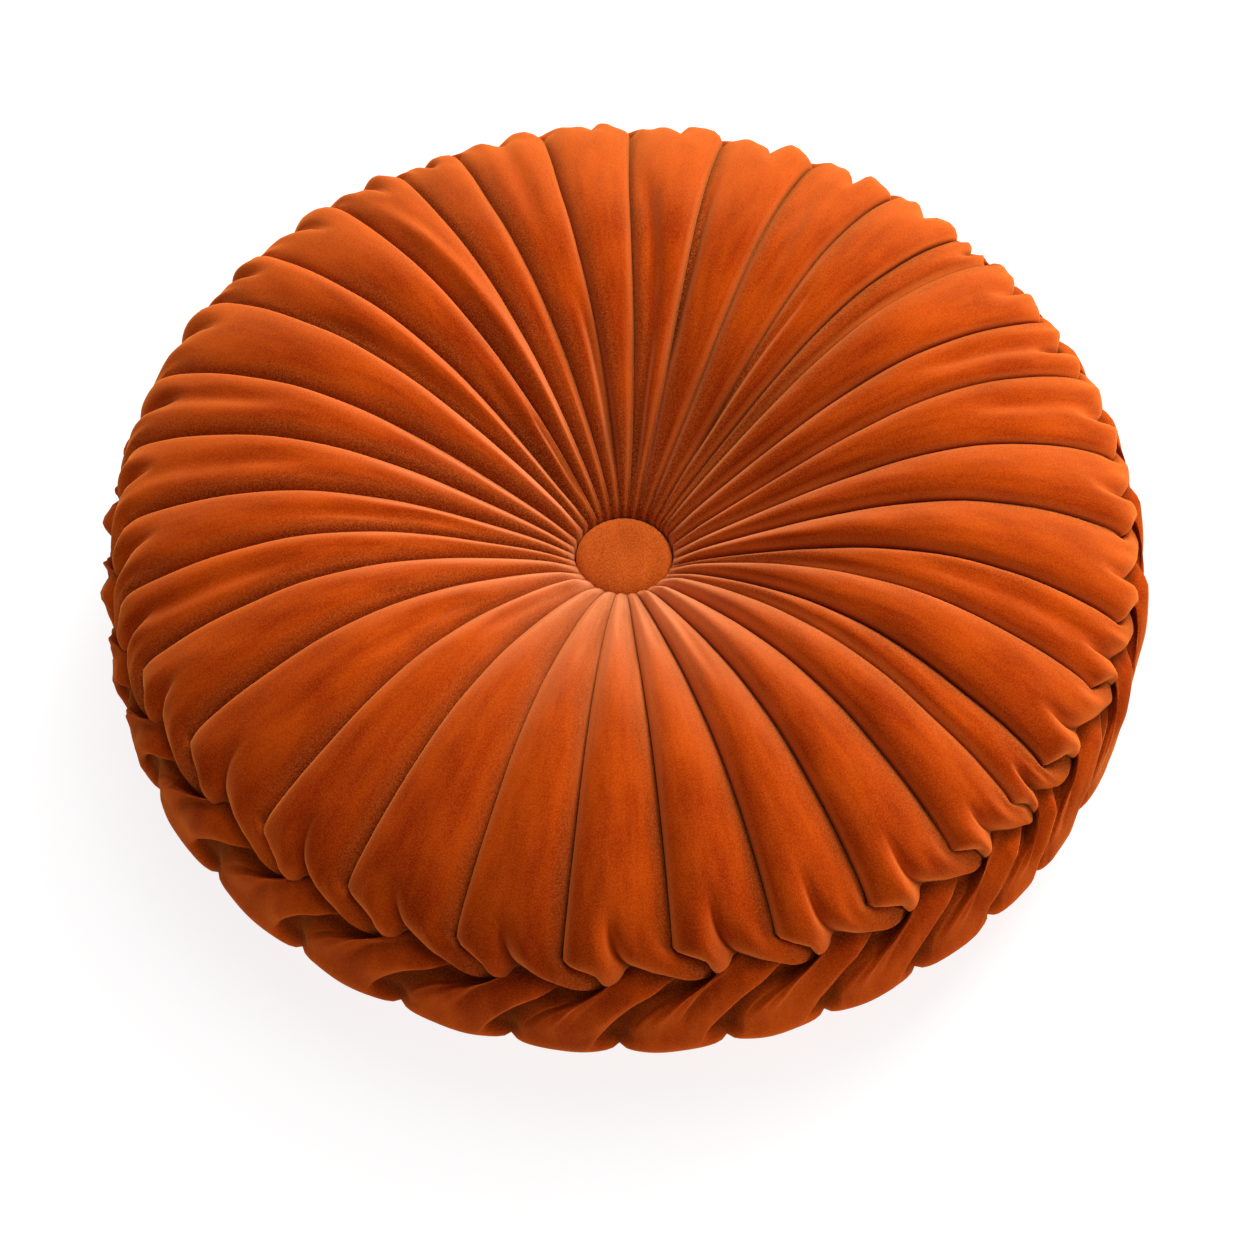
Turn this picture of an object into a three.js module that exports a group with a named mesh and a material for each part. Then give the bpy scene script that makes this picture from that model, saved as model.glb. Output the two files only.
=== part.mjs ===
// A round pleated cushion in velvet, lying on its back.
// One tube of cloth is gathered to a covered button on each face. Half way down the side its pleats
// are drawn together in pairs, so that they cross in a band of lattice folds.
// Millimetres, +Z up, origin on the floor under the middle.
import * as THREE from 'three';

// Whole cushion
const RIM_RADIUS = 196;      // to the creases at the widest height; the folds stand proud of it
const RIM_HEIGHT = 50;       // height of the widest place above the floor
const TOP_FULLNESS = 3.4;    // exponent of the rounded section above the widest place, 2 would be a circle
const BACK_FULLNESS = 2.8;   // and below it
const TOP_RISE = 66;         // crown above the widest place, before the button pulls it down
const BACK_RISE = 55;        // the same below it
const DISH_REACH = 117;      // how far from the button the face is pulled down
const DISH_POWER = 1.77;
const TOP_DISH = 48;         // depth of the pull at each button
const BACK_DISH = 20;

// Covered buttons
const BUTTON_RADIUS = 18.3;
const BUTTON_RIM = 4;        // height of the button's upright edge
const BUTTON_DOME = 4.5;     // rise of its face above that edge
const BUTTON_EDGE_ROUND = 1.2;
const BUTTON_SINK = 9;       // from the gathered cloth's edge down to the bed that the button lies on
const BUTTON_CLEARANCE = 0.4;
const WELL_RADIUS = 19.3;    // the gathered cloth's edge
const BED_RADIUS = 18.9;     // the bed under the button

// Pleats
const FOLD_SHARE = 0.15;     // crest height over a pleat's width
const GATHER_SHARE = 0.2;    // added to that at the button, where the cloth is bunched
const GATHER_LENGTH = 45;
const FOLD_LIMIT = 5.2;      // highest crest
const LEAN_REACH = 145;      // a pleat's turn towards the button dies out here
const LEAN_POWER = 1.5;

// Distances along the section, from the top button's edge outwards and down the side
const CROWN_ROWS = [0, 12, 28, 50, 76, 104, 132, 156];
const BEND = 164;            // below this the pleats bend into the lattice
const BEND_ROWS = [0.35, 0.72];
const TUCK = 2;              // the lower folds come out this far below the upper edge
const WAIST = 208;           // the lattice folds at their most slanting
const SKIRT = 224;           // the folds straighten towards the back
const UNDER = 242;           // plain back pleats begin
const SIDE_ROWS = [0.22, 0.5, 0.78];
const BACK_ROWS = [0, 0.16, 0.32, 0.48, 0.64, 0.8, 0.92, 1];

// The pleats' creases as they lie: place at the rim, and turn of the crease at the button, in degrees.
const CREASES = [
  { rim: -1.5, turn: -5 }, { rim: 9.5, turn: -6 }, { rim: 21, turn: -7.5 }, { rim: 30, turn: -2 },
  { rim: 41, turn: -1.5 }, { rim: 46, turn: -2 }, { rim: 56, turn: -4.5 }, { rim: 66.5, turn: -3.5 },
  { rim: 78, turn: -3 }, { rim: 89.5, turn: -4.5 }, { rim: 100, turn: -5.5 }, { rim: 111, turn: -6.5 },
  { rim: 118.5, turn: -4 }, { rim: 127.5, turn: -4 }, { rim: 138.5, turn: -2 }, { rim: 147, turn: -0.5 },
  { rim: 159, turn: 2.5 }, { rim: 169.5, turn: 2.5 }, { rim: 180.5, turn: 1 }, { rim: 190.5, turn: 0.5 },
  { rim: 200, turn: -1 }, { rim: 211.5, turn: -1.5 }, { rim: 226, turn: -4.5 }, { rim: 238, turn: -2 },
  { rim: 251.5, turn: -2.5 }, { rim: 263.5, turn: -1 }, { rim: 275.5, turn: -0.5 }, { rim: 287, turn: -1.5 },
  { rim: 298, turn: 0.5 }, { rim: 309.5, turn: 2 }, { rim: 319, turn: 5.5 }, { rim: 325, turn: 6.5 },
  { rim: 337, turn: 3 }, { rim: 346.5, turn: -3 },
];

// The lines of cloth that make one pleat, from its crease to the next. The first numbers say where
// a line runs, in pleat widths from that crease: on the crown, at the upper folds' lower edge (edge,
// which lies at the distance drop), at the waist, at the skirt and under the cushion. The others are
// its height there: a share of the crest on crown and back, and millimetres in the lattice.
const LINES = [
  { name: 'crease', crown: 0, edge: 0.4, drop: 199, waist: -0.16, skirt: -0.36, under: -0.35,
    crest: 0, bend: 0, lip: -1.5, tuck: -2, slant: 1.5, hang: 2.6, back: 0.7 },
  { name: 'roll', crown: 0.2, edge: 0.5, drop: 194.5, waist: 0, skirt: -0.2, under: -0.2,
    crest: 0.85, bend: 0.95, lip: 1.2, tuck: -0.2, slant: 3, hang: 3.4, back: 0.95 },
  { name: 'stitch', crown: 0.4, edge: 0.6, drop: 190, waist: 0.15, skirt: -0.04, under: -0.05,
    crest: 1, bend: 0.45, lip: -1.5, tuck: -1.5, slant: 3.2, hang: 3.8, back: 1 },
  { name: 'belly', crown: 0.62, edge: 0.85, drop: 192, waist: 0.36, skirt: 0.14, under: 0.09,
    crest: 1, bend: 1, lip: 4.2, tuck: -0.8, slant: 3.6, hang: 4.2, back: 0.95 },
  { name: 'fold', crown: 0.8, edge: 1.07, drop: 195.5, waist: 0.57, skirt: 0.31, under: 0.22,
    crest: 0.85, bend: 0.9, lip: 4.6, tuck: -0.8, slant: 4.8, hang: 4.6, back: 0.85 },
  { name: 'gutter', crown: 0.92, edge: 1.24, drop: 197.5, waist: 0.62, skirt: 0.5, under: 0.5,
    crest: 0.55, bend: 0.6, lip: 2.8, tuck: -1.8, slant: -1, hang: -0.5, back: 0 },
];

const VELVET = { color: 0xc4521a, roughness: 0.9, metalness: 0 };
const DEGREE = Math.PI / 180;

// Value at x on the straight lines through rising (xs, ys).
function between(xs, ys, x) {
  let i = 1;
  while (i < xs.length - 1 && xs[i] < x) i += 1;
  const share = THREE.MathUtils.clamp((x - xs[i - 1]) / (xs[i] - xs[i - 1]), 0, 1);
  return THREE.MathUtils.lerp(ys[i - 1], ys[i], share);
}

// Height of a face above the widest place, at a radius: a full rounded section, less the button's pull.
function faceHeight(radius, rise, fullness, dish) {
  const section = rise * (1 - (radius / RIM_RADIUS) ** fullness) ** (1 / fullness);
  const pull = Math.max(0, 1 - (radius - WELL_RADIUS) / DISH_REACH);
  return section - dish * pull ** DISH_POWER;
}

// The cushion's half section under its folds, from the top button's edge to the back button's.
function halfSection() {
  const steps = 240;
  const turn0 = Math.asin((WELL_RADIUS / RIM_RADIUS) ** (TOP_FULLNESS / 2));
  const rs = [];
  const zs = [];
  const lengths = [0];
  for (let i = 0; i <= 2 * steps; i += 1) {
    const onTop = i <= steps;
    const share = onTop ? i / steps : (2 * steps - i) / steps;
    const turn = THREE.MathUtils.lerp(turn0, Math.PI / 2, share);
    const r = Math.min(RIM_RADIUS, RIM_RADIUS * Math.sin(turn) ** (2 / TOP_FULLNESS));
    const z = onTop ? faceHeight(r, TOP_RISE, TOP_FULLNESS, TOP_DISH)
      : -faceHeight(r, BACK_RISE, BACK_FULLNESS, BACK_DISH);
    rs.push(r);
    zs.push(RIM_HEIGHT + z);
    if (i > 0) lengths.push(lengths[i - 1] + Math.hypot(r - rs[i - 1], zs[i] - zs[i - 1]));
  }
  return { rs, zs, lengths, total: lengths[lengths.length - 1] };
}

const SECTION = halfSection();

// A point of the half section at a distance along it, moved out square to it by lift.
function onSection(distance, lift) {
  const { rs, zs, lengths } = SECTION;
  const step = 1.5;
  const dr = between(lengths, rs, distance + step) - between(lengths, rs, distance - step);
  const dz = between(lengths, zs, distance + step) - between(lengths, zs, distance - step);
  const length = Math.hypot(dr, dz);
  return {
    r: between(lengths, rs, distance) - (dz / length) * lift,
    z: between(lengths, zs, distance) + (dr / length) * lift,
  };
}

// Angle of a place counted in pleats, at a distance along the section.
function pleatAngle(place, distance) {
  const turns = Math.floor(place / CREASES.length);
  const index = place - turns * CREASES.length;
  const k = Math.floor(index);
  const next = (k + 1) % CREASES.length;
  const share = index - k;
  const nextRim = CREASES[next].rim + (next === 0 ? 360 : 0);
  const rim = THREE.MathUtils.lerp(CREASES[k].rim, nextRim, share);
  const turn = THREE.MathUtils.lerp(CREASES[k].turn, CREASES[next].turn, share);
  const reach = Math.max(0, 1 - distance / LEAN_REACH);
  return (rim + 360 * turns + turn * reach ** LEAN_POWER) * DEGREE;
}

// Height of a pleat's crest: a share of its width, more where it is bunched at a button.
function crestHeight(place, distance) {
  const width = (pleatAngle(place + 0.5, distance) - pleatAngle(place - 0.5, distance))
    * onSection(distance, 0).r;
  const toButton = Math.min(distance, SECTION.total - distance);
  const bunched = GATHER_SHARE * Math.exp(-toButton / GATHER_LENGTH);
  return Math.min(FOLD_LIMIT, width * (FOLD_SHARE + bunched));
}

// Rows of one line of cloth, from the top button's edge to the back button's: where it is, counted
// in pleats from its own crease, its distance along the section, and its lift off it.
function lineRows(line, pleat) {
  const rows = [];
  const middle = pleat + 0.5;
  CROWN_ROWS.forEach((distance, i) => {
    const crest = i === 0 ? 0 : crestHeight(middle, distance);
    rows.push({ place: pleat + line.crown, distance, lift: crest * line.crest });
  });
  BEND_ROWS.forEach((share) => {
    rows.push({
      place: pleat + THREE.MathUtils.lerp(line.crown, line.edge, share ** 4),
      distance: THREE.MathUtils.lerp(BEND, line.drop, share),
      lift: crestHeight(middle, BEND) * THREE.MathUtils.lerp(line.crest, line.bend, share),
    });
  });
  rows.push({ place: pleat + line.edge, distance: line.drop, lift: line.lip });
  const out = line.drop + TUCK;
  rows.push({ place: pleat + line.edge, distance: out, lift: line.tuck });
  const stations = [out, WAIST, SKIRT, UNDER];
  const places = [line.edge, line.waist, line.skirt, line.under];
  const underLift = crestHeight(pleat, UNDER) * line.back;
  const lifts = [line.tuck, line.slant, line.hang, underLift];
  SIDE_ROWS.forEach((share) => {
    const distance = THREE.MathUtils.lerp(out, UNDER, share);
    rows.push({
      place: pleat + between(stations, places, distance),
      distance,
      lift: between(stations, lifts, distance),
    });
  });
  BACK_ROWS.forEach((share, i) => {
    const distance = THREE.MathUtils.lerp(UNDER, SECTION.total, share);
    const crest = i === BACK_ROWS.length - 1 ? 0 : crestHeight(pleat, distance);
    rows.push({ place: pleat + line.under, distance, lift: crest * line.back });
  });
  return rows;
}

// The filled cover: every pleat's lines side by side all the way round, closed over a bed under
// each button. What would reach below the floor is pressed flat on it.
function pleatedCover() {
  const positions = [];
  const columns = [];
  CREASES.forEach((crease, pleat) => {
    LINES.forEach((line) => columns.push(lineRows(line, pleat)));
  });
  const topBed = onSection(0, 0).z - BUTTON_SINK;
  const backBed = onSection(SECTION.total, 0).z + BUTTON_SINK;
  columns.forEach((rows) => {
    const first = pleatAngle(rows[0].place, 0);
    const last = pleatAngle(rows[rows.length - 1].place, SECTION.total);
    positions.push(BED_RADIUS * Math.cos(first), BED_RADIUS * Math.sin(first), topBed);
    rows.forEach((row) => {
      const angle = pleatAngle(row.place, row.distance);
      const { r, z } = onSection(row.distance, row.lift);
      positions.push(r * Math.cos(angle), r * Math.sin(angle), Math.max(0, z));
    });
    positions.push(BED_RADIUS * Math.cos(last), BED_RADIUS * Math.sin(last), backBed);
  });
  const count = columns[0].length + 2;
  const topPole = positions.length / 3;
  positions.push(0, 0, topBed, 0, 0, backBed);
  const indices = [];
  columns.forEach((rows, c) => {
    const here = c * count;
    const there = ((c + 1) % columns.length) * count;
    indices.push(topPole, here, there);
    for (let i = 0; i < count - 1; i += 1) {
      indices.push(here + i, here + i + 1, there + i + 1, here + i, there + i + 1, there + i);
    }
    indices.push(topPole + 1, there + count - 1, here + count - 1);
  });
  const geometry = new THREE.BufferGeometry();
  geometry.setAttribute('position', new THREE.Float32BufferAttribute(positions, 3));
  geometry.setIndex(indices);
  geometry.computeVertexNormals();
  return geometry;
}

// A covered button: flat back, upright edge, and a softly domed face, turned about its middle.
function coveredButton() {
  const profile = [new THREE.Vector2(0, 0), new THREE.Vector2(BUTTON_RADIUS - BUTTON_EDGE_ROUND, 0)];
  profile.push(new THREE.Vector2(BUTTON_RADIUS, BUTTON_EDGE_ROUND));
  const steps = 6;
  for (let i = 0; i < steps; i += 1) {
    const turn = (i / steps) * (Math.PI / 2);
    const rise = BUTTON_RIM + BUTTON_DOME * Math.sin(turn);
    profile.push(new THREE.Vector2(BUTTON_RADIUS * Math.cos(turn) ** 0.6, rise));
  }
  profile.push(new THREE.Vector2(0, BUTTON_RIM + BUTTON_DOME));
  const geometry = new THREE.LatheGeometry(profile, 36);
  geometry.rotateX(Math.PI / 2);
  return geometry;
}

function named(name, geometry) {
  const mesh = new THREE.Mesh(geometry, new THREE.MeshStandardMaterial(VELVET));
  mesh.name = name;
  return mesh;
}

const cushion = new THREE.Group();
cushion.add(named('pleated_cover', pleatedCover()));

const topButton = named('top_button', coveredButton());
topButton.position.z = onSection(0, 0).z - BUTTON_SINK + BUTTON_CLEARANCE;
cushion.add(topButton);

const backButton = named('back_button', coveredButton());
backButton.rotation.x = Math.PI;
backButton.position.z = onSection(SECTION.total, 0).z + BUTTON_SINK - BUTTON_CLEARANCE;
cushion.add(backButton);

export default cushion;
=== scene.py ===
import bpy
import numpy as np
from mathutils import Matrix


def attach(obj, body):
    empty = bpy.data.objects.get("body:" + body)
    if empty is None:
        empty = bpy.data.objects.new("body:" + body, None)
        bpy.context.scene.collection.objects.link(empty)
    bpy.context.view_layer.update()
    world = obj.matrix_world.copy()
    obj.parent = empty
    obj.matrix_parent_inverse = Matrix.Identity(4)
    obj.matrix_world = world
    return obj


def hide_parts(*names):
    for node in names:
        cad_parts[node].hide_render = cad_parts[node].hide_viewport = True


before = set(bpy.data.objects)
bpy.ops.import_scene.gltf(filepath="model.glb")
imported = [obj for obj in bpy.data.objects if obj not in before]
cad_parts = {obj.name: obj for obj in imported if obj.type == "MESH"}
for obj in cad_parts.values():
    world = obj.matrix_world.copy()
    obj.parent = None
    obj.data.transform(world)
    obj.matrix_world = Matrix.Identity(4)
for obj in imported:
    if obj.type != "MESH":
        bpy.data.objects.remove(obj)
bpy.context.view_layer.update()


# The camera looks down on the cushion's near side at 56 degrees, from two metres away. A cushion 0.4 m
# across fills most of the picture, a little above its middle, because the picture is shifted down and
# slightly to the right against the lens, in pixels.
EYE_HEIGHT_ANGLE = np.radians(55.8)
EYE_DISTANCE = 2.0
WIDEST_HEIGHT = 0.050
SENSOR_WIDTH = 36.0
PICTURE_PIXELS = 1254
PIXELS_PER_METRE = 2602
SHIFT_RIGHT = 3
SHIFT_UP = -47

camera_data = bpy.data.cameras.new("photo_camera")
camera_data.sensor_width = SENSOR_WIDTH
camera_data.lens = SENSOR_WIDTH * PIXELS_PER_METRE * EYE_DISTANCE / PICTURE_PIXELS
camera_data.shift_x = SHIFT_RIGHT / PICTURE_PIXELS
camera_data.shift_y = SHIFT_UP / PICTURE_PIXELS
camera = bpy.data.objects.new("photo_camera", camera_data)
camera.location = (0.0, -EYE_DISTANCE * np.cos(EYE_HEIGHT_ANGLE),
                   WIDEST_HEIGHT + EYE_DISTANCE * np.sin(EYE_HEIGHT_ANGLE))
camera.rotation_euler = (np.pi / 2 - EYE_HEIGHT_ANGLE, 0.0, 0.0)
bpy.context.scene.collection.objects.link(camera)
bpy.context.scene.camera = camera


# The cover is one tube of short-pile velvet over a fibre filling. It is pleated and gathered by a thread
# to a ring round each button, and half way down the side its pleats are stitched together in pairs, so
# that each one rolls under and crosses below its neighbour as a slanting lattice fold.
MM = 0.001

# The section under the folds, in millimetres: its widest place, how far the faces rise above and below
# it and how square their shoulders are, the dish that each button pulls, and the well it sits in.
RIM_RADIUS = 196.0
RIM_HEIGHT = 50.0
TOP_FULLNESS = 3.4
BACK_FULLNESS = 2.8
TOP_RISE = 66.0
BACK_RISE = 55.0
DISH_REACH = 117.0
DISH_POWER = 1.77
TOP_DISH = 48.0
BACK_DISH = 20.0
WELL_RADIUS = 19.3
BED_RADIUS = 18.9
BUTTON_SINK = 9.0

# The creases as they lie in the photograph: place at the rim and turn at the button, in degrees, and
# how full the pleat after it is.
CREASES = np.array([
    (-1.5, -5, 1.1), (9.5, -6, 1.0), (21, -7.5, 0.95), (30, -2, 1.0), (41, -1.5, 0.8), (46, -2, 1.0),
    (56, -4.5, 1.0), (66.5, -3.5, 0.95), (78, -3, 1.1), (89.5, -4.5, 1.1), (100, -5.5, 1.0),
    (111, -6.5, 0.9), (118.5, -4, 1.0), (127.5, -4, 1.0), (138.5, -2, 1.0), (147, -0.5, 1.05),
    (159, 2.5, 1.0), (169.5, 2.5, 1.0), (180.5, 1, 1.0), (190.5, 0.5, 1.0), (200, -1, 1.0),
    (211.5, -1.5, 1.05), (226, -4.5, 1.05), (238, -2, 1.0), (251.5, -2.5, 1.05), (263.5, -1, 1.0),
    (275.5, -0.5, 1.0), (287, -1.5, 1.0), (298, 0.5, 0.95), (309.5, 2, 1.0), (319, 5.5, 0.9),
    (325, 6.5, 1.1), (337, 3, 1.0), (346.5, -3, 1.1),
], dtype=[("rim", float), ("turn", float), ("full", float)])
PLEATS = len(CREASES)
LEAN_REACH = 145.0
LEAN_POWER = 1.5


def through(knots, values, x):
    """Smooth curve through values at knots, with no overshoot: a cubic on each stretch, whose end
    slopes are the harmonic mean of the slopes on both sides, or nought where these differ in sign.
    values may be a table with a row for each knot."""
    knots = np.asarray(knots, float)
    values = np.asarray(values, float)
    gap = np.diff(knots).reshape(-1, *[1] * (values.ndim - 1))
    slope = np.diff(values, axis=0) / gap
    product = slope[1:] * slope[:-1]
    total = np.where(product > 0, slope[1:] + slope[:-1], 1.0)
    inner = np.where(product > 0, 2 * product / total, 0.0)
    ends = np.concatenate([slope[:1], inner, slope[-1:]])
    stretch = np.clip(np.searchsorted(knots, x, side="right") - 1, 0, len(knots) - 2)
    share = (np.clip(x, knots[0], knots[-1]) - knots[stretch]) / np.diff(knots)[stretch]
    share = share.reshape(-1, *[1] * (values.ndim - 1))
    start, finish = values[stretch], values[stretch + 1]
    bend0, bend1 = ends[stretch] * gap[stretch], ends[stretch + 1] * gap[stretch]
    return (start * (1 + 2 * share) * (1 - share) ** 2 + bend0 * share * (1 - share) ** 2
            + finish * share ** 2 * (3 - 2 * share) + bend1 * share ** 2 * (share - 1))


def ease(low, high, x):
    """Nought below low, one above high, and a smooth step between: 3 t squared less 2 t cubed."""
    t = np.clip((x - low) / (high - low), 0, 1)
    return t * t * (3 - 2 * t)


def face_height(radius, rise, fullness, dish):
    """Height of a face over the widest place: a superellipse of the rise, less the button's pull,
    which dies out with the distance from the button to the power DISH_POWER."""
    section = rise * (1 - (radius / RIM_RADIUS) ** fullness).clip(0) ** (1 / fullness)
    pull = (1 - (radius - WELL_RADIUS) / DISH_REACH).clip(0)
    return section - dish * pull ** DISH_POWER


def half_section():
    """Radius, height and run along the cushion's section under its folds, from the top button's edge
    out over the crown, down the side and in to the back button's edge."""
    turn = np.linspace(np.arcsin((WELL_RADIUS / RIM_RADIUS) ** (TOP_FULLNESS / 2)), np.pi / 2, 600)
    radius = (RIM_RADIUS * np.sin(turn) ** (2 / TOP_FULLNESS)).clip(0, RIM_RADIUS)
    top = RIM_HEIGHT + face_height(radius, TOP_RISE, TOP_FULLNESS, TOP_DISH)
    back = RIM_HEIGHT - face_height(radius, BACK_RISE, BACK_FULLNESS, BACK_DISH)
    radii = np.concatenate([radius, radius[-2::-1]])
    heights = np.concatenate([top, back[-2::-1]])
    run = np.concatenate([[0], np.cumsum(np.hypot(np.diff(radii), np.diff(heights)))])
    return radii, heights, run


SECTION_RADII, SECTION_HEIGHTS, SECTION_RUN = half_section()
WHOLE_RUN = SECTION_RUN[-1]


def on_section(run, lift):
    """Radius and height at a run along the section, moved out square to it by lift."""
    step = 1.5
    ahead, behind = np.clip(run + step, 0, WHOLE_RUN), np.clip(run - step, 0, WHOLE_RUN)
    across = np.interp(ahead, SECTION_RUN, SECTION_RADII) - np.interp(behind, SECTION_RUN, SECTION_RADII)
    down = np.interp(ahead, SECTION_RUN, SECTION_HEIGHTS) - np.interp(behind, SECTION_RUN, SECTION_HEIGHTS)
    length = np.hypot(across, down)
    return (np.interp(run, SECTION_RUN, SECTION_RADII) - down / length * lift,
            np.interp(run, SECTION_RUN, SECTION_HEIGHTS) + across / length * lift)


def pleat_angle(place, run):
    """Angle of a place counted in pleats: in step with the creases at the rim, plus their turn near
    the button, which dies out with the run to the power LEAN_POWER."""
    count = np.arange(-2, PLEATS + 3)
    rims = CREASES["rim"][count % PLEATS] + 360.0 * (count // PLEATS)
    turns = CREASES["turn"][count % PLEATS]
    reach = (1 - run / LEAN_REACH).clip(0) ** LEAN_POWER
    return np.radians(np.interp(place, count, rims) + np.interp(place, count, turns) * reach)


# Key lines of cloth in one pleat, from its crease to the next: where each runs, counted in pleats from
# the crease, on the crown, at the lip where the upper folds roll under, at the waist and the skirt of the
# lattice, and under the cushion; the run at which it meets the lip; and its lift at the lip, in the tuck
# under it, at the waist and at the skirt. Runs and lifts are in millimetres.
LINES = np.array([
    # line, crown, lip, drop, waist, skirt, under, lip lift, tuck lift, waist lift, skirt lift
    ("crease", 0.00, 0.40, 199.0, -0.16, -0.36, -0.35, -1.8, -2.4, 0.2, 0.6),
    ("roll", 0.20, 0.50, 194.5, 0.00, -0.20, -0.21, 0.2, -0.2, 1.9, 1.5),
    ("stitch", 0.40, 0.60, 190.0, 0.15, -0.04, -0.08, -1.8, -1.8, 1.7, 1.7),
    ("belly", 0.62, 0.85, 192.0, 0.34, 0.13, 0.06, 2.6, -2.0, 2.3, 2.1),
    ("fold", 0.80, 1.07, 195.5, 0.57, 0.31, 0.18, 2.4, -2.0, 3.0, 2.8),
    ("foot", 0.86, 1.15, 196.8, 0.53, 0.29, 0.32, 1.8, -2.6, -2.6, -0.8),
    ("gutter", 0.92, 1.24, 197.8, 0.54, 0.50, 0.50, 0.8, -2.8, -3.2, -2.8),
], dtype=[("line", "U8"), ("crown", float), ("lip", float), ("drop", float), ("waist", float),
          ("skirt", float), ("under", float), ("lip_lift", float), ("tuck_lift", float),
          ("waist_lift", float), ("skirt_lift", float)])

# Runs at which the crown ends and the side has gone under the cushion, with the stations of lip, waist,
# skirt and under between the lip and there. Then the columns and rows of the grid, the share of a pleat
# that goes with its crease, and how far edges and noses turn over.
CROWN_END = 160.0
UNDER_RUN = 242.0
SIDE_STATIONS = (0.0, 0.30, 0.65, 1.0)
LINE_STEPS = (6, 4, 4, 4, 4, 3, 5)
CREASE_CROWDING = 1.9
CREASE_SHARE = 0.14
CREASE_OVERLAP = 1.1
CROWN_STEPS, BEND_STEPS, NOSE_STEPS, SIDE_STEPS, BACK_STEPS = 27, 26, 6, 25, 11
NOSE_FORWARD = 1.4
NOSE_BACK = 2.6
FOLD_FORWARD = 1.6


def pleat_columns():
    """Crown places of one pleat's columns: each stretch between two key lines in equal steps, and in
    the first and last stretch crowded towards the crease by a power."""
    marks = np.append(LINES["crown"], 1.0)
    parts = [np.linspace(a, b, n, endpoint=False) for a, b, n in zip(marks[:-1], marks[1:], LINE_STEPS)]
    parts[0] = marks[1] * (parts[0] / marks[1]) ** CREASE_CROWDING
    parts[-1] = 1 - (1 - marks[-2]) * ((1 - parts[-1]) / (1 - marks[-2])) ** CREASE_CROWDING
    return np.concatenate(parts)


def line_values(name, columns, wrap):
    """A key-line value at every column, on a smooth curve through the lines of this pleat and the
    nearest ones of its neighbours; wrap is what a value gains from one pleat to the next."""
    marks = np.concatenate([LINES["crown"][-2:] - 1, LINES["crown"], LINES["crown"][:2] + 1])
    values = np.concatenate([LINES[name][-2:] - wrap, LINES[name], LINES[name][:2] + wrap])
    return through(marks, values, columns)


def uneven(place, waves):
    """Gentle unevenness round the cushion: a sum of sine waves that close on themselves."""
    turn = 2 * np.pi * place / PLEATS
    return sum(np.sin(n * turn + 1.7 * n * n) for n in waves) / len(waves) ** 0.5


# Softer folds and puckers that lie on single pleats: angle where it starts and ends, run from and to,
# depth (a ridge where it is negative), half width, in degrees and millimetres.
SOFT_FOLDS = np.array([
    (82.6, 82.2, 5, 84, 2.8, 2.0), (82.2, 87.0, 70, 145, 3.0, 3.0), (75.5, 76.5, 50, 150, 2.4, 1.8),
    (52.3, 52.0, 20, 115, 2.2, 1.5), (58.5, 64.5, 70, 168, 2.0, 4.5), (95.5, 101.5, 5, 95, 2.2, 2.0),
    (117.5, 126.0, 20, 172, -2.2, 3.5), (126.5, 127.5, 5, 50, 1.8, 1.5), (133.5, 133.5, 4, 75, 2.2, 4.0),
    (143.0, 146.0, 40, 150, 1.8, 3.0), (187.0, 186.0, 20, 130, 1.6, 3.0), (218.5, 220.0, 55, 120, 1.4, 4.0),
    (256.0, 256.5, 12, 70, 1.4, 2.0), (342.0, 341.5, 90, 190, 2.0, 5.0), (25.5, 25.0, 110, 190, 2.4, 4.0),
    (15.0, 15.5, 120, 190, 2.0, 4.0), (163.5, 164.0, 120, 190, 2.0, 4.0),
    (175.0, 175.5, 100, 190, 1.8, 5.0), (195.5, 195.0, 110, 190, 2.2, 4.0),
    (105.0, 105.5, 110, 190, 1.8, 4.0), (268.5, 268.0, 0, 55, 1.0, 1.4), (281.0, 280.5, 0, 60, 1.2, 1.8),
    (292.0, 291.5, 8, 90, 1.0, 2.2), (230.5, 231.0, 10, 80, 1.2, 2.4),
], dtype=[("begin", float), ("end", float), ("run_from", float), ("run_to", float), ("depth", float),
          ("half_width", float)])


def bell(x, half_width):
    """One at nought and less on both sides: the exponential of minus the square of x / half_width."""
    return np.exp(-(x / half_width) ** 2)


def gathers(pleat, column, count, shift):
    """Fine gathers: a sine across each pleat with count waves, moved on by shift from pleat to pleat."""
    return np.sin(2 * np.pi * count * column + shift * pleat)


def soft_folds(angle, run):
    """Lift of the softer folds: for each a bell across it, deepest at its middle, fading to its ends."""
    lift = np.zeros_like(angle)
    radius = np.interp(run, SECTION_RUN, SECTION_RADII)
    for fold in SOFT_FOLDS:
        share = (run - fold["run_from"]) / (fold["run_to"] - fold["run_from"])
        line = np.radians(fold["begin"] + (fold["end"] - fold["begin"]) * share.clip(0, 1))
        aside = (angle - line + np.pi) % (2 * np.pi) - np.pi
        across = bell(aside * radius, fold["half_width"])
        lift -= fold["depth"] * across * ease(0, 0.25, share) * ease(0, 0.25, 1 - share)
    return lift


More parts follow.
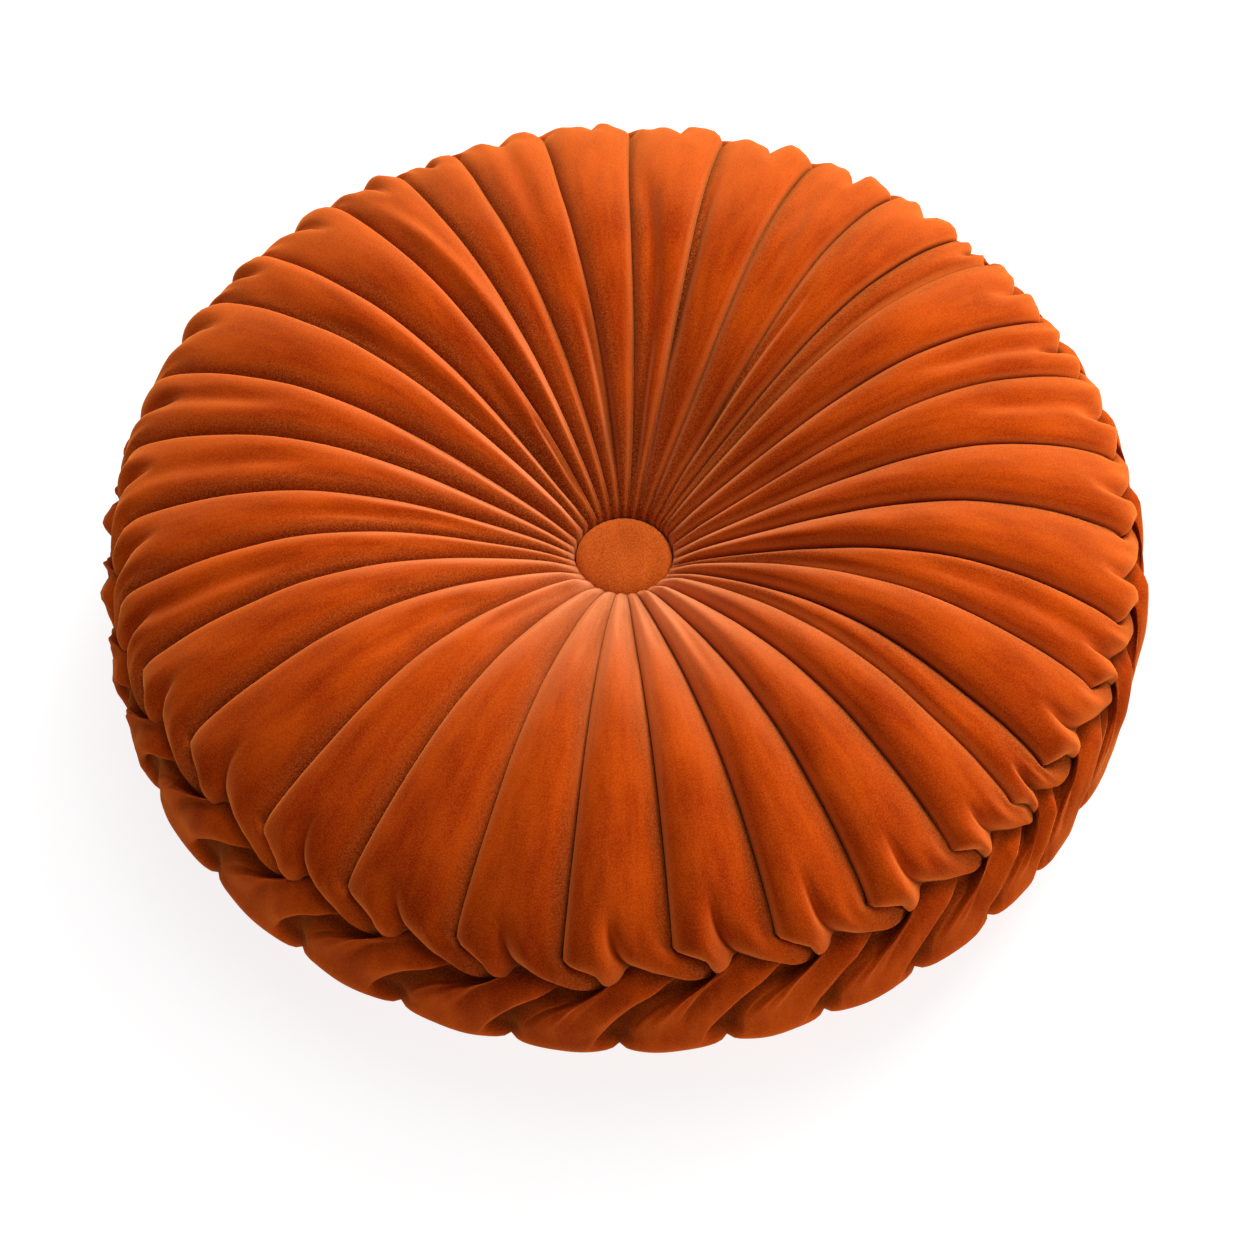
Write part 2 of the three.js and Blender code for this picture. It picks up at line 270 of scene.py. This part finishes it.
# Values at each column of a pleat. Places gain one from a pleat to the next, runs and lifts do not. The
# belly is the cloth between the stitch line and the next crease, full by a power of a sine.
STITCH = LINES["crown"][2]
FOLD, FOOT = LINES["crown"][4:6]
COLUMNS = pleat_columns()
AT_COLUMN = {name: line_values(name, COLUMNS, float(name in ("crown", "lip", "waist", "skirt", "under")))
             for name in LINES.dtype.names[1:]}
PAST_STITCH = ((COLUMNS - STITCH) / (1 - STITCH)).clip(0, 1)
BELLY = np.where(COLUMNS < STITCH, 0.0, np.sin(np.pi * PAST_STITCH) ** 0.6)
TUCKED_RUN = AT_COLUMN["drop"] - NOSE_BACK * BELLY

# Way down each stretch of rows, from nought to one, or a half turn for the lip's nose. A power above one
# crowds the rows towards the stretch's start, and one below it towards its end.
CROWN = np.linspace(0, 1, CROWN_STEPS)[:, None] ** 1.15
BEND = np.linspace(0, 1, BEND_STEPS + 1)[1:, None]
NOSE = np.linspace(0, np.pi, NOSE_STEPS + 1)[1:, None]
SIDE = np.linspace(0, 1, SIDE_STEPS + 1)[1:, None] ** 1.2
BACK = np.linspace(0, 1, BACK_STEPS + 1)[1:, None] ** 0.9
BEND_END, NOSE_END, SIDE_END = np.cumsum([CROWN_STEPS + BEND_STEPS, NOSE_STEPS, SIDE_STEPS])


def all_pleats(values):
    """Values at one pleat's columns, or rows of them, repeated for every pleat round the cushion."""
    return np.tile(values, PLEATS)


def pleat_rows():
    """Places and runs of one pleat's grid, stretch by stretch. On the crown the columns keep their
    place. On the bend they lean over to the lattice with the fourth power of the way, and those by a
    crease later and faster. At the lip the belly's rows go forward by a sine and back by a cosine."""
    by_crease = bell(np.minimum(COLUMNS, 1 - COLUMNS), CREASE_SHARE)
    late = 0.8 * ease(0.62, 0.80, BEND) + 0.2 * ease(0.78, 1.0, BEND)
    lean = BEND ** 4 * (1 - by_crease) + late * by_crease
    stations = np.stack([AT_COLUMN[name] for name in ("lip", "waist", "skirt", "under")])
    places = [np.ones((CROWN_STEPS, 1)) * COLUMNS,
              COLUMNS + (AT_COLUMN["lip"] - COLUMNS) * lean,
              np.ones((NOSE_STEPS, 1)) * AT_COLUMN["lip"],
              through(SIDE_STATIONS, stations, SIDE[:, 0]),
              np.ones((BACK_STEPS, 1)) * AT_COLUMN["under"]]
    drop = AT_COLUMN["drop"]
    flat = np.ones(len(COLUMNS))
    runs = [CROWN_END * CROWN * flat,
            CROWN_END + (drop - CROWN_END) * BEND,
            drop + BELLY * (NOSE_FORWARD * np.sin(NOSE) - NOSE_BACK * (1 - np.cos(NOSE)) / 2),
            TUCKED_RUN + (UNDER_RUN - TUCKED_RUN) * SIDE,
            (UNDER_RUN + (WHOLE_RUN - UNDER_RUN) * BACK) * flat]
    return np.concatenate(places), np.concatenate(runs)


# Cross section of the crown's pleats. The crest is a share of the pleat's width, with more near the
# button, up to a limit, and the pleats at the front are fuller. Lengths and runs are in millimetres.
CREST_LIMIT = 5.2
CREST_SHARE = 0.155
CREST_SHARE_BY_BUTTON = 0.36
CREST_REACH = 60.0
FRONT_PLEAT = 26.0
CREASE_DEPTH = 1.3
GROOVE_DEPTH = 5.6
GROOVE_HALF_WIDTH = 2.1
GROOVE_FULL_RUN = 186.0
ROLL_RISE = 2.2
BELLY_RISE = 0.8
PUCKER_DEPTH = 2.4
PUCKER_RUN = 188.0


def crown_lift(pleat, column, run, width):
    """Lift of the crown's pleats down to the lip. Across a pleat it is a low arch, a power of the
    distance from the middle, mixed with a pinch, which falls to each crease as an exponential, and it
    tilts to one side. Towards the lip a groove along the stitch line parts a roll, half a sine, from the
    belly, with fine gathers. Bells deepen each crease, and pucker it at the lip."""
    crest = CREST_SHARE + CREST_SHARE_BY_BUTTON * np.exp(-run / CREST_REACH)
    crest = np.minimum(CREST_LIMIT, width * crest) * CREASES["full"][pleat]
    crest *= 1 + bell(pleat - FRONT_PLEAT, 5.0) * (0.25 + 0.5 * np.exp(-run / 55))
    arch = 1 - np.abs(2 * column - 1) ** 2.1
    pinch = 1 - np.exp(-column * width / (0.35 + 0.020 * width)) - np.exp(
        -(1 - column) * width / (0.5 + 0.105 * width))
    lift = crest * (0.52 * arch + 0.48 * pinch) * ease(-6, 14, run)
    tilt = 0.28 * uneven(pleat, (2, 5, 9, 12)) - 0.08 - 0.25 * bell(pleat - FRONT_PLEAT, 4.5)
    lift *= 1 + tilt * (2 * column - 1)
    lift += 0.35 * np.sin(run / 17 + 2.4 * pleat) * arch * ease(30, 90, run)

    groove_start = CROWN_END + 5 + 6 * uneven(pleat, (3, 5, 7, 11))
    part = ease(groove_start, GROOVE_FULL_RUN, run)
    roll = np.where(column < STITCH, np.sin(np.pi * column.clip(0, STITCH) / STITCH), 0)
    lift -= part * GROOVE_DEPTH * np.exp(-np.abs(column - STITCH) * width / GROOVE_HALF_WIDTH)
    lift += part * (ROLL_RISE * roll + BELLY_RISE * all_pleats(BELLY))
    lift += 0.6 * gathers(pleat, column, 4, 2.3) * bell(run - GROOVE_FULL_RUN, 9.0)

    to_crease = np.minimum(column, 1 - column) * width
    lift -= PUCKER_DEPTH * bell(to_crease, 2.2) * bell(run - PUCKER_RUN, 5.0)
    lift -= CREASE_DEPTH * bell(to_crease, 1.9) * ease(12, 50, run) * (1 - ease(165, 185, run))
    return lift


# Ridges along a lattice fold, or a hollow where the height is negative: place counted as on the crown,
# height in millimetres and half width.
LATTICE_RIDGES = ((0.73, 1.3, 0.065), (0.30, 0.9, 0.08), (0.54, -1.5, 0.06))
ROLL_REACH = 6.0
BELLY_REACH = 9.5


def lattice_lift(pleat, column, run):
    """Lift of the lattice folds on the side. It leaves the tuck under the lip by a smooth step to the
    key lines' lifts, with bells for ridges along each fold, fine gathers under the lip, which die out
    as an exponential, and finer ones half way down."""
    stations = np.stack([AT_COLUMN[name] for name in 2 * ["waist_lift"] + 2 * ["skirt_lift"]])
    full = all_pleats(through(SIDE_STATIONS, stations, SIDE[:, 0]))
    tuck = all_pleats(AT_COLUMN["tuck_lift"])
    from_tuck = run - all_pleats(TUCKED_RUN)
    reach = np.where(column < STITCH, ROLL_REACH, BELLY_REACH)
    lift = tuck + (full - tuck) * ease(0, 1, from_tuck / reach)
    ridge = sum(height * bell(column - middle, half) for middle, height, half in LATTICE_RIDGES)
    ridge = ridge * (1 + 0.35 * uneven(pleat, (3, 8, 11)))
    lift += ridge * ease(0.05, 0.2, SIDE) * ease(0.25, 0.6, 1 - SIDE)
    lift += 0.8 * gathers(pleat, column, 3, 1.9) * ease(0, 3, from_tuck) * np.exp(-from_tuck / 11)
    lift += 0.45 * gathers(pleat, column, 5, 2.7) * ease(0.1, 0.3, SIDE) * ease(0.3, 0.6, 1 - SIDE)
    return lift


BACK_CREST_LIMIT = 4.0


def back_lift(pleat, place, run):
    """Lift of the back's pleats: a low arch, a power of the distance from the middle, mixed with a
    pinch, which falls to the creases as an exponential. They lie half way between the top's, and the
    crest is a share of the width, with more near the button."""
    aside = np.abs((place + 0.5) % 1.0 - 0.5)
    width = pleat_angle(pleat + 0.5, run) - pleat_angle(pleat - 0.5, run)
    width = width * np.interp(run, SECTION_RUN, SECTION_RADII)
    crest = width * (0.15 + 0.22 * np.exp(-(WHOLE_RUN - run) / 40))
    arch = 1 - (2 * aside) ** 2.2
    pinch = 1 - np.exp(-(0.5 - aside) * width / (0.4 + 0.035 * width))
    return np.minimum(BACK_CREST_LIMIT, crest) * (0.5 * arch + 0.5 * pinch)


# Width of a pleat at the rim, the distance that stands for no crease near by, and how far out from the
# button the cloth counts as gathered, which is where the velvet has its painted shade and sheen, in
# millimetres.
PLEAT_PITCH = 36.0
FAR_FROM_CREASE = 20.0
GATHERED_REACH = 45.0


def cover_grid():
    """Places, runs, lifts and angles of the whole cover on a grid, and the values that its material
    reads: rows from the top button's edge to the back button's, columns round the cushion. After a
    crease the pleat's edge bulges back over its neighbour by half a sine. Towards the lip the crown's
    lift closes to the key lines' by a power of the way. Under the lip the columns slant down the lattice
    folds, whose lower edge is a nose, half a sine across the columns, and run on under the cushion as
    plain pleats."""
    place_rows, run_rows = pleat_rows()
    pleat = np.repeat(np.arange(PLEATS), len(COLUMNS))[None]
    column = all_pleats(COLUMNS)[None]
    place = pleat + all_pleats(place_rows)
    run = all_pleats(run_rows)
    lift = np.zeros_like(place)
    upper, nose = slice(0, BEND_END), slice(BEND_END, NOSE_END)
    side, back = slice(NOSE_END, SIDE_END), slice(SIDE_END, None)

    # Crown and bend
    width = pleat_angle(pleat + 1.0, run[upper]) - pleat_angle(pleat, run[upper])
    width = width * np.interp(run[upper], SECTION_RUN, SECTION_RADII)
    overlap = np.minimum(CREASE_OVERLAP / width, 0.1)
    place[upper] -= overlap * np.sin(np.pi * (column / CREASE_SHARE).clip(0, 1) ** 0.5)
    way = np.concatenate([np.zeros((CROWN_STEPS, 1)), BEND])
    close = np.where(column < STITCH, way ** 7, way ** 5)
    lip_lift = all_pleats(AT_COLUMN["lip_lift"])
    lift[upper] = crown_lift(pleat, column, run[upper], width) * (1 - close) + lip_lift * close

    # Nose of the lip and the tuck under it
    tuck_lift = all_pleats(AT_COLUMN["tuck_lift"])
    lift[nose] = lip_lift + (tuck_lift - lip_lift) * (1 - np.cos(NOSE)) / 2

    # Lattice side, which passes into the plain pleats of the back
    plain = back_lift(pleat, place[side], run[side])
    fade = ease(0.72, 1.0, SIDE)
    lift[side] = lattice_lift(pleat, column, run[side]) * (1 - fade) + plain * fade
    lift[back] = back_lift(pleat, place[back], run[back])

    # Lower edge of the lattice folds, where the columns between fold and foot turn over a nose
    turn = np.pi * ((column - FOLD) / (FOOT - FOLD)).clip(0, 1)
    hang = ease(0, 0.08, SIDE) * ease(0.15, 0.45, 1 - SIDE)
    place[side] += FOLD_FORWARD / PLEAT_PITCH * np.sin(turn) * hang

    # Unevenness round the side, softer folds and slight wrinkles
    sway = ease(120, 180, run) * (1 - ease(235, 300, run))
    run = run + 2.0 * sway * uneven(place, (4, 7, 9, 13))
    angle = pleat_angle(place, run)
    lift += soft_folds(angle, run) * (1 - ease(175, 190, run))
    wrinkle = 0.22 * np.sin(place * 9.0 + run * 0.11) * np.sin(run * 0.075 + place * 2.3)
    lift += wrinkle * ease(20, 80, run) * (1 - ease(330, 380, run))

    # Values that the velvet reads, which place its painted shade, sheen and highlights
    from_crease = np.full_like(place, FAR_FROM_CREASE)
    to_next = np.full_like(place, FAR_FROM_CREASE)
    from_crease[upper] = column * width
    to_next[upper] = (1 - column) * width
    on_band = ease(186, 198, run) * (1 - ease(300, 340, run))
    marks = {"from_crease": from_crease, "to_next_crease": to_next, "on_band": on_band,
             "gathered": np.exp(-run / GATHERED_REACH), "fold_lift": lift.clip(-3, 8)}
    return place, run, lift, angle, marks


def closed_mesh(name, rows_xyz, poles, extra):
    """Mesh of a grid closed round its columns, with a fan to a pole at each end; extra holds vertex
    values, and UV is a pair of grids one column wider than the mesh, so that the seam is clean."""
    rows, count = rows_xyz.shape[:2]
    vertices = np.concatenate([rows_xyz.reshape(-1, 3), poles])
    row, col = np.meshgrid(np.arange(rows - 1), np.arange(count), indexing="ij")
    after = (col + 1) % count
    quads = np.stack([row * count + col, (row + 1) * count + col, (row + 1) * count + after,
                      row * count + after], -1).reshape(-1, 4)
    ring = np.arange(count)
    ring_after = (ring + 1) % count
    last = (rows - 1) * count
    top_fan = np.stack([np.full(count, rows * count), ring, ring_after], -1)
    back_fan = np.stack([np.full(count, rows * count + 1), last + ring_after, last + ring], -1)
    mesh = bpy.data.meshes.new(name)
    loops = np.concatenate([quads.ravel(), top_fan.ravel(), back_fan.ravel()])
    sizes = np.concatenate([np.full(len(quads), 4), np.full(2 * count, 3)])
    mesh.vertices.add(len(vertices))
    mesh.vertices.foreach_set("co", vertices.ravel())
    mesh.loops.add(len(loops))
    mesh.loops.foreach_set("vertex_index", loops)
    mesh.polygons.add(len(sizes))
    mesh.polygons.foreach_set("loop_start", np.cumsum(sizes) - sizes)
    mesh.polygons.foreach_set("use_smooth", np.ones(len(sizes), bool))
    mesh.update(calc_edges=True)
    for key, values in extra["point"].items():
        layer = mesh.attributes.new(key, "FLOAT", "POINT")
        layer.data.foreach_set("value", np.concatenate([values.ravel(), [0.0, 0.0]]))
    u, v = extra["uv"]
    row, col = row.ravel(), col.ravel()
    corners = [(row, col), (row + 1, col), (row + 1, col + 1), (row, col + 1)]
    quad_uv = np.stack([np.stack([u[r, c], v[r, c]], -1) for r, c in corners], 1)
    top_uv = np.stack([np.stack([u[0, c], v[0, c]], -1) for c in (ring, ring, ring + 1)], 1)
    back_uv = np.stack([np.stack([u[-1, c], v[-1, c]], -1) for c in (ring, ring + 1, ring)], 1)
    uv_layer = mesh.uv_layers.new(name="cloth")
    uv_layer.data.foreach_set("uv", np.concatenate([quad_uv.ravel(), top_uv.ravel(), back_uv.ravel()]))
    mesh.validate()
    return mesh


CLOTH_LENGTH = 100.0
CLOTH_ROUND = 12.0


def cover_mesh():
    """The cover's grid set in space: radius and height from the section and lift, angle from the
    pleats, pressed flat on the floor, with a wall and bed under each button. UV is the way round, with
    CLOTH_ROUND for a whole turn, and the run in units of CLOTH_LENGTH."""
    place, run, lift, angle, marks = cover_grid()
    radius, height = on_section(run, lift)
    height = np.maximum(height, 0.0)
    bed = np.full_like(radius[:1], BED_RADIUS)
    top_bed = SECTION_HEIGHTS[0] - BUTTON_SINK
    back_bed = SECTION_HEIGHTS[-1] + BUTTON_SINK
    radius = np.concatenate([bed, radius, bed])
    height = np.concatenate([np.full_like(bed, top_bed), height, np.full_like(bed, back_bed)])
    angle = np.concatenate([angle[:1], angle, angle[-1:]])
    grid = np.stack([radius * np.cos(angle), radius * np.sin(angle), height], -1) * MM
    poles = np.array([[0, 0, top_bed], [0, 0, back_bed]]) * MM
    point = {key: np.concatenate([mark[:1], mark, mark[-1:]]) for key, mark in marks.items()}
    runs = np.concatenate([run[:1] - BUTTON_SINK, run, run[-1:] + BUTTON_SINK])
    places = np.concatenate([place[:1], place, place[-1:]])
    u = np.concatenate([places, places[:, :1] + PLEATS], 1) / PLEATS * CLOTH_ROUND
    v = np.concatenate([runs, runs[:, :1]], 1) / CLOTH_LENGTH
    return closed_mesh("pleated_cover_cloth", grid, poles, {"point": point, "uv": (u, v)})


cover = bpy.data.objects.new("pleated_cover_cloth", cover_mesh())
bpy.context.scene.collection.objects.link(cover)


def nap_group():
    """Node group for velvet pile. Shade is a soft mask of brushed patches, streaked along the cloth,
    Grain is the fine speckle of the pile ends, and Height is their relief."""
    group = bpy.data.node_groups.new("velvet_pile", "ShaderNodeTree")
    face = group.interface
    for name, default in (("Patch Size", 30.0), ("Streak Size", 6.0), ("Grain Size", 1700.0)):
        face.new_socket(name=name, in_out="INPUT", socket_type="NodeSocketFloat").default_value = default
    for name in ("Shade", "Grain", "Height"):
        face.new_socket(name=name, in_out="OUTPUT", socket_type="NodeSocketFloat")
    nodes, links = group.nodes, group.links
    given, out = nodes.new("NodeGroupInput"), nodes.new("NodeGroupOutput")
    where, cloth = nodes.new("ShaderNodeTexCoord"), nodes.new("ShaderNodeUVMap")
    cloth.uv_map = "cloth"

    def noise(vector, scale, detail, roughness):
        node = nodes.new("ShaderNodeTexNoise")
        node.inputs["Detail"].default_value = detail
        node.inputs["Roughness"].default_value = roughness
        links.new(vector, node.inputs["Vector"])
        links.new(scale, node.inputs["Scale"])
        return node.outputs["Fac"]

    stretched = nodes.new("ShaderNodeMapping")
    stretched.inputs["Scale"].default_value = (3.0, 0.7, 1.0)
    links.new(cloth.outputs["UV"], stretched.inputs["Vector"])
    patch = noise(where.outputs["Object"], given.outputs["Patch Size"], 1.5, 0.45)
    streak = noise(stretched.outputs["Vector"], given.outputs["Streak Size"], 2.0, 0.5)
    grain = noise(where.outputs["Object"], given.outputs["Grain Size"], 3.0, 0.7)
    shade = nodes.new("ShaderNodeMix")
    shade.data_type = "FLOAT"
    shade.inputs["Factor"].default_value = 0.45
    links.new(patch, shade.inputs["A"])
    links.new(streak, shade.inputs["B"])
    spread = nodes.new("ShaderNodeMapRange")
    spread.inputs["From Min"].default_value = 0.36
    spread.inputs["From Max"].default_value = 0.64
    links.new(shade.outputs["Result"], spread.inputs["Value"])
    links.new(spread.outputs["Result"], out.inputs["Shade"])
    links.new(grain, out.inputs["Grain"])
    links.new(grain, out.inputs["Height"])
    return group


VELVET_PILE = nap_group()
DEEP_ORANGE = (0.242, 0.0130, 0.0003, 1.0)
BRIGHT_ORANGE = (0.465, 0.0520, 0.0012, 1.0)
# Pale pile: the pile's own pale speckle, and also a painted sheen at grazing angles and a painted highlight
# after each crease.
PALE_PILE_AND_SHEEN = (0.800, 0.170, 0.028, 1.0)
# Dusty pale for a painted sheen on gathered cloth seen at a slant.
PAINTED_SLANT_SHEEN = (0.920, 0.380, 0.180, 1.0)
# Brown for a painted shade in the last 8 mm before a crease, which also carries the nap's speckle.
NAP_AND_SHADE_BROWN = (0.200, 0.0400, 0.0065, 1.0)
# Dark brown for painted shade in creases and folds and on gathered cloth seen face on.
PAINTED_SHADE_BROWN = (0.035, 0.0035, 0.0003, 1.0)
SHEEN_TINT = (1.0, 0.36, 0.08, 1.0)


def velvet_material(name, deep, bright, grain, has_folds):
    """Orange velvet: brushed patches from deep to bright, speckled pile, and a pale bloom at grazing
    angles from the shader's sheen and from a painted sheen in the colour, held back on the side. With
    folds it has painted shade where it is gathered and seen face on, and a dusty pale painted sheen
    where it is gathered and seen at a slant. Creases have painted shade, with a band of painted shade
    and nap speckle before them and a thin painted highlight after them."""
    material = bpy.data.materials.new(name)
    material.use_nodes = True
    nodes, links = material.node_tree.nodes, material.node_tree.links
    shader = nodes["Principled BSDF"]
    shader.inputs["Roughness"].default_value = 0.85
    shader.inputs["Specular IOR Level"].default_value = 0.0
    shader.inputs["Sheen Weight"].default_value = 0.48
    shader.inputs["Sheen Roughness"].default_value = 0.32
    shader.inputs["Sheen Tint"].default_value = SHEEN_TINT
    pile = nodes.new("ShaderNodeGroup")
    pile.node_tree = VELVET_PILE

    def mix(factor, first, second):
        node = nodes.new("ShaderNodeMix")
        node.data_type = "RGBA"
        for socket, value in ((node.inputs["Factor"], factor), (node.inputs["A"], first),
                              (node.inputs["B"], second)):
            if isinstance(value, (tuple, float)):
                socket.default_value = value
            else:
                links.new(value, socket)
        return node.outputs["Result"]

    def scaled(value, low, high, to_low, to_high):
        node = nodes.new("ShaderNodeMapRange")
        for key, number in (("From Min", low), ("From Max", high), ("To Min", to_low), ("To Max", to_high)):
            node.inputs[key].default_value = number
        links.new(value, node.inputs["Value"])
        return node.outputs["Result"]

    def times(first, second):
        node = nodes.new("ShaderNodeMath")
        node.operation = "MULTIPLY"
        links.new(first, node.inputs[0])
        links.new(second, node.inputs[1])
        return node.outputs["Value"]

    def attribute(key):
        node = nodes.new("ShaderNodeAttribute")
        node.attribute_name = key
        return node.outputs["Fac"]

    colour = mix(scaled(pile.outputs["Shade"], 0, 1, 0.08, 0.90), deep, bright)
    rim = nodes.new("ShaderNodeLayerWeight")
    rim.inputs["Blend"].default_value = 0.30
    slant = rim.outputs["Facing"]
    # Painted sheen: the colour goes pale at grazing angles, held back on the side band.
    painted_sheen = scaled(slant, 0.08, 0.90, 0.0, 1.0)
    if has_folds:
        painted_sheen = times(painted_sheen, scaled(attribute("on_band"), 0.0, 1.0, 1.0, 0.10))
    colour = mix(painted_sheen, colour, PALE_PILE_AND_SHEEN)
    if has_folds:
        from_crease, to_next = attribute("from_crease"), attribute("to_next_crease")
        gathered = attribute("gathered")

        # Painted shade on gathered cloth seen face on, and a dusty pale painted sheen where it is seen at a
        # slant
        colour = mix(times(gathered, scaled(slant, 0.0, 0.30, 0.8, 0.0)), colour, PAINTED_SHADE_BROWN)
        colour = mix(times(gathered, scaled(slant, 0.17, 0.52, 0.0, 1.15)), colour, PAINTED_SLANT_SHEEN)

        # Painted shade with nap speckle in the last 8 mm before a crease, most where it is brushed dark
        unbrushed = scaled(pile.outputs["Shade"], 0.1, 0.9, 1.0, 0.45)
        nap_and_shade = times(scaled(to_next, 0.5, 8.0, 0.75, 0.0), unbrushed)
        colour = mix(nap_and_shade, colour, NAP_AND_SHADE_BROWN)

        # Painted shade deep in the folds and in each crease, a thin painted highlight as a pale edge after
        # a crease, and speckle on the nap
        colour = mix(scaled(attribute("fold_lift"), -1.6, 2.0, 0.85, 0.0), colour, PAINTED_SHADE_BROWN)
        colour = mix(scaled(to_next, 0.1, 1.0, 0.8, 0.0), colour, PAINTED_SHADE_BROWN)
        # Painted highlight: a thin pale edge just after a crease.
        painted_edge_highlight = times(scaled(from_crease, 0.3, 1.0, 0.0, 0.40), scaled(from_crease, 1.0, 2.4, 1.0, 0.0))
        colour = mix(painted_edge_highlight, colour, PALE_PILE_AND_SHEEN)
        colour = mix(times(nap_and_shade, scaled(pile.outputs["Grain"], 0.45, 0.75, 0.0, 0.8)), colour, PALE_PILE_AND_SHEEN)
    colour = mix(scaled(pile.outputs["Grain"], 0.40, 0.75, 0.0, grain), colour, PALE_PILE_AND_SHEEN)
    colour = mix(scaled(pile.outputs["Grain"], 0.30, 0.52, 1.2 * grain, 0.0), colour, deep)
    links.new(colour, shader.inputs["Base Color"])
    bump = nodes.new("ShaderNodeBump")
    bump.inputs["Strength"].default_value = 0.35
    bump.inputs["Distance"].default_value = 0.0003
    links.new(pile.outputs["Height"], bump.inputs["Height"])
    links.new(bump.outputs["Normal"], shader.inputs["Normal"])
    return material


cover.data.materials.append(velvet_material("pleated_velvet", DEEP_ORANGE, BRIGHT_ORANGE, 0.26, True))
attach(cover, "root")
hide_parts("pleated_cover")


# Two buttons, each a shallow dome covered in the same velvet, are drawn in by one thread through the
# filling, so that they sit in the middle of the gathers on both faces.
BUTTON_RADIUS = 18.3
BUTTON_RIM = 5.2
BUTTON_DOME = 4.3
BUTTON_CLEARANCE = 0.4
BUTTON_AROUND = 160
BUTTON_ROWS = 26


def button_mesh(name, bed, up):
    """Profile turned about Z: up the button's side, round its edge and over a dome that flattens
    towards its middle, its radius falling with the cosine to the power 0.6. The edge is drawn in by
    shallow puckers, a sine round the button that dies out over the face."""
    turn = np.linspace(0, np.pi / 2, BUTTON_ROWS)[:-1]
    radius = np.concatenate([[BUTTON_RADIUS - 2.0, BUTTON_RADIUS - 0.6, BUTTON_RADIUS],
                             BUTTON_RADIUS * np.cos(turn) ** 0.6])
    height = np.concatenate([[0.0, 0.3, 1.4], BUTTON_RIM + BUTTON_DOME * np.sin(turn)])
    around = np.linspace(0, 2 * np.pi, BUTTON_AROUND, endpoint=False)
    wide, high = radius[:, None] + 0 * around, height[:, None] + 0 * around
    share = wide / BUTTON_RADIUS
    pucker = 0.10 * np.sin(23 * around) + 0.08 * np.sin(37 * around + 1.0)
    wide = wide + pucker * ease(0.88, 1.0, share) * 0.8
    high = high + 0.12 * np.sin(3 * around + 0.6) * share ** 2 * (1 - share)
    grid = np.stack([wide * np.cos(around), up * wide * np.sin(around), bed + up * high], -1)[::-1] * MM
    poles = np.array([[0, 0, bed + up * (BUTTON_RIM + BUTTON_DOME)], [0, 0, bed]]) * MM
    whole_turn = np.append(around, 2 * np.pi)
    u = radius[::-1, None] * np.cos(whole_turn) / CLOTH_LENGTH
    v = radius[::-1, None] * np.sin(whole_turn) / CLOTH_LENGTH
    return closed_mesh(name, grid, poles, {"point": {}, "uv": (u, v)})


BUTTON_DEEP = (0.260, 0.0360, 0.0030, 1.0)
BUTTON_BRIGHT = (0.460, 0.0780, 0.0090, 1.0)
button_velvet = velvet_material("button_velvet", BUTTON_DEEP, BUTTON_BRIGHT, 0.55, False)
TOP_BED = SECTION_HEIGHTS[0] - BUTTON_SINK + BUTTON_CLEARANCE
BACK_BED = SECTION_HEIGHTS[-1] + BUTTON_SINK - BUTTON_CLEARANCE
for node, bed, up in (("top_button", TOP_BED, 1), ("back_button", BACK_BED, -1)):
    button = bpy.data.objects.new(node + "_velvet", button_mesh(node + "_velvet", bed, up))
    bpy.context.scene.collection.objects.link(button)
    button.data.materials.append(button_velvet)
    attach(button, "root")
    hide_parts(node)


# A plain pale floor that glows like a light table, and soft white light: a dim surround, a wide lamp
# overhead, a stronger one behind to the right, which lights the slopes that face it, and a small one
# low at the right, which lights the side.
FLOOR_HALF = 6.0
FLOOR_GREY = 0.25
FLOOR_GLOW = 0.85
SURROUND_LIGHT = 0.16
floor_mesh = bpy.data.meshes.new("floor")
floor_corners = [(x * FLOOR_HALF, y * FLOOR_HALF, 0) for x, y in ((-1, -1), (1, -1), (1, 1), (-1, 1))]
floor_mesh.from_pydata(floor_corners, [], [(0, 1, 2, 3)])
floor = bpy.data.objects.new("floor", floor_mesh)
floor_paint = bpy.data.materials.new("pale_floor")
floor_paint.use_nodes = True
floor_shader = floor_paint.node_tree.nodes["Principled BSDF"]
floor_shader.inputs["Base Color"].default_value = (FLOOR_GREY, FLOOR_GREY, FLOOR_GREY, 1)
floor_shader.inputs["Roughness"].default_value = 0.9
floor_shader.inputs["Emission Color"].default_value = (1, 1, 1, 1)
floor_shader.inputs["Emission Strength"].default_value = FLOOR_GLOW
floor_mesh.materials.append(floor_paint)
bpy.context.scene.collection.objects.link(floor)

surround = bpy.data.worlds.new("surround")
surround.use_nodes = True
surround.node_tree.nodes["Background"].inputs["Color"].default_value = (1, 1, 1, 1)
surround.node_tree.nodes["Background"].inputs["Strength"].default_value = SURROUND_LIGHT
bpy.context.scene.world = surround
bpy.context.scene.view_settings.view_transform = "Standard"


def lamp(name, place, size, power):
    """A square soft lamp that faces the cushion."""
    data = bpy.data.lights.new(name, "AREA")
    data.size = size
    data.energy = power
    thing = bpy.data.objects.new(name, data)
    thing.location = place
    aim = -np.array(place) / np.linalg.norm(place)
    thing.rotation_euler = (np.arccos(-aim[2]), 0, np.arctan2(aim[0], -aim[1]) + np.pi)
    bpy.context.scene.collection.objects.link(thing)


lamp("overhead_lamp", (0.3, 0.5, 2.0), 1.6, 26)
lamp("back_right_lamp", (1.0, 1.5, 1.5), 1.4, 57)
lamp("right_lamp", (1.6, -0.6, 0.28), 0.5, 11)
